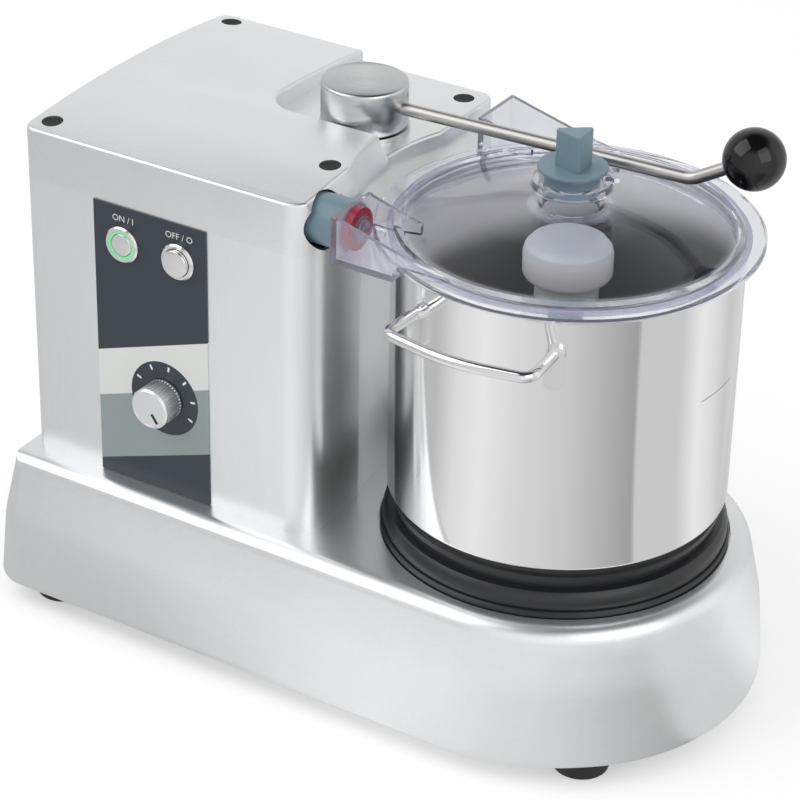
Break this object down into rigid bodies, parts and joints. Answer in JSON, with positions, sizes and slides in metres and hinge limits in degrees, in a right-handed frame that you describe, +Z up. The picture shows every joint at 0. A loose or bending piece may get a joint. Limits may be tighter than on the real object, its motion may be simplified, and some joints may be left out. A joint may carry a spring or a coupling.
{
  "type": "meat bowl cutter",
  "caption": "Tabletop bowl cutter: cast base and motor column, steel bowl with wire handles, clear lid held by a swinging lever, belt-driven blade rotor.",
  "frame": {"origin": "on the floor under the middle of the machine's bounding box", "axes": "+X from the motor column to the bowl, +Y to the back, +Z up"},
  "size_m": [0.5016, 0.2892, 0.3991],
  "materials": {
    "cast_aluminium": "satin, polished casting",
    "shell_metal": "brushed satin",
    "brushed_steel": "fine brushed",
    "bright_steel": "bright polished",
    "bowl_steel": "mirror polished",
    "black_plastic": "glossy",
    "seat_plastic": "satin",
    "rubber_black": "matte",
    "panel_print": "satin print",
    "light_green": "lit translucent",
    "clear_plastic": "clear, gloss",
    "plug_plastic": "satin, slightly translucent",
    "red_magnet": "gloss",
    "white_plastic": "frosted",
    "blade_steel": "ground",
    "motor_paint": "satin paint",
    "belt_rubber": "matte",
    "board_green": "circuit board",
    "bronze": "sintered",
    "iron": "machined"
  },
  "bodies": {
    "base": {"base_casting": "cast_aluminium", "base_cover": "brushed_steel", "rubber_feet": "rubber_black", "foot_screws": "brushed_steel", "bowl_seat": "seat_plastic", "housing_shell": "shell_metal", "top_cap": "cast_aluminium", "cap_plugs": "rubber_black", "cap_screws": "brushed_steel", "tie_rods": "brushed_steel", "sensor_boss": "plug_plastic", "cable_gland": "seat_plastic", "control_panel": "panel_print", "on_bezel": "bright_steel", "on_light_ring": "light_green", "off_bezel": "bright_steel", "contact_blocks": "seat_plastic", "speed_pot_body": "iron", "hub_flange": "brushed_steel", "lever_bush": "bronze", "safety_switch": "seat_plastic", "switch_bracket": "brushed_steel", "motor_body": "motor_paint", "motor_plate": "brushed_steel", "plate_bolts": "brushed_steel", "drive_belt": "belt_rubber", "spindle_housing": "cast_aluminium", "spindle_bearings": "bright_steel", "spindle_bolts": "brushed_steel", "control_board": "board_green", "speed_drive": "cast_aluminium"},
    "lever": {"lever_hub": "brushed_steel", "lever_arm": "bright_steel", "ball_knob": "black_plastic", "lever_shaft": "brushed_steel", "safety_cam": "seat_plastic"},
    "lid": {"lid": "clear_plastic", "lid_seal": "clear_plastic", "magnet_ring": "red_magnet", "ear_screw": "clear_plastic"},
    "plug": {"feed_plug": "plug_plastic"},
    "bowl": {"bowl": "bowl_steel", "bowl_tube": "bowl_steel", "bayonet_skirt": "bowl_steel", "handle_pads": "bright_steel", "front_handle": "bright_steel", "back_handle": "bright_steel"},
    "rotor": {"rotor_hub": "white_plastic", "lower_blade": "blade_steel", "upper_blade": "blade_steel"},
    "spindle": {"drive_shaft": "brushed_steel", "driven_pulley": "iron"},
    "motor_rotor": {"motor_shaft": "brushed_steel", "motor_pulley": "iron"},
    "on_button": {"on_cap": "bright_steel"},
    "off_button": {"off_cap": "bright_steel"},
    "speed_knob_group": {"speed_knob": "brushed_steel", "knob_pointer": "black_plastic", "speed_pot_shaft": "brushed_steel"}
  },
  "joints": [
    {"name": "lever_swing", "type": "hinge", "parent": "base", "child": "lever", "pos_m": [-0.058, 0.028, 0.34], "axis": [0, 0, 1], "range_deg": [0, 95]},
    {"name": "lid_lift", "type": "slide", "parent": "base", "child": "lid", "axis": [0, 0, 1], "range_m": [0, 0.005]},
    {"name": "plug_lift", "type": "slide", "parent": "lid", "child": "plug", "axis": [0, 0, 1], "range_m": [0, 0.04]},
    {"name": "bowl_turn", "type": "hinge", "parent": "base", "child": "bowl", "pos_m": [0.11, 0, 0.141], "axis": [0, 0, 1], "range_deg": [0, 25]},
    {"name": "shaft_spin", "type": "hinge", "parent": "base", "child": "spindle", "pos_m": [0.11, 0, 0.1], "axis": [0, 0, 1], "continuous": true},
    {"name": "rotor_lift", "type": "slide", "parent": "spindle", "child": "rotor", "axis": [0, 0, 1], "range_m": [0, 0.012]},
    {"name": "motor_spin", "type": "hinge", "parent": "base", "child": "motor_rotor", "pos_m": [-0.125, 0.005, 0.1], "axis": [0, 0, 1], "continuous": true},
    {"name": "on_press", "type": "slide", "parent": "base", "child": "on_button", "axis": [0, 1, 0], "range_m": [0, 0.0025], "stiffness_N_per_m": 400},
    {"name": "off_press", "type": "slide", "parent": "base", "child": "off_button", "axis": [0, 1, 0], "range_m": [0, 0.0025], "stiffness_N_per_m": 400},
    {"name": "speed_turn", "type": "hinge", "parent": "base", "child": "speed_knob_group", "pos_m": [-0.122, -0.11, 0.18], "axis": [0, 1, 0], "range_deg": [0, 270]}
  ],
  "couplings": [
    {"joint": "motor_spin", "follows": "shaft_spin", "ratio": 2}
  ]
}
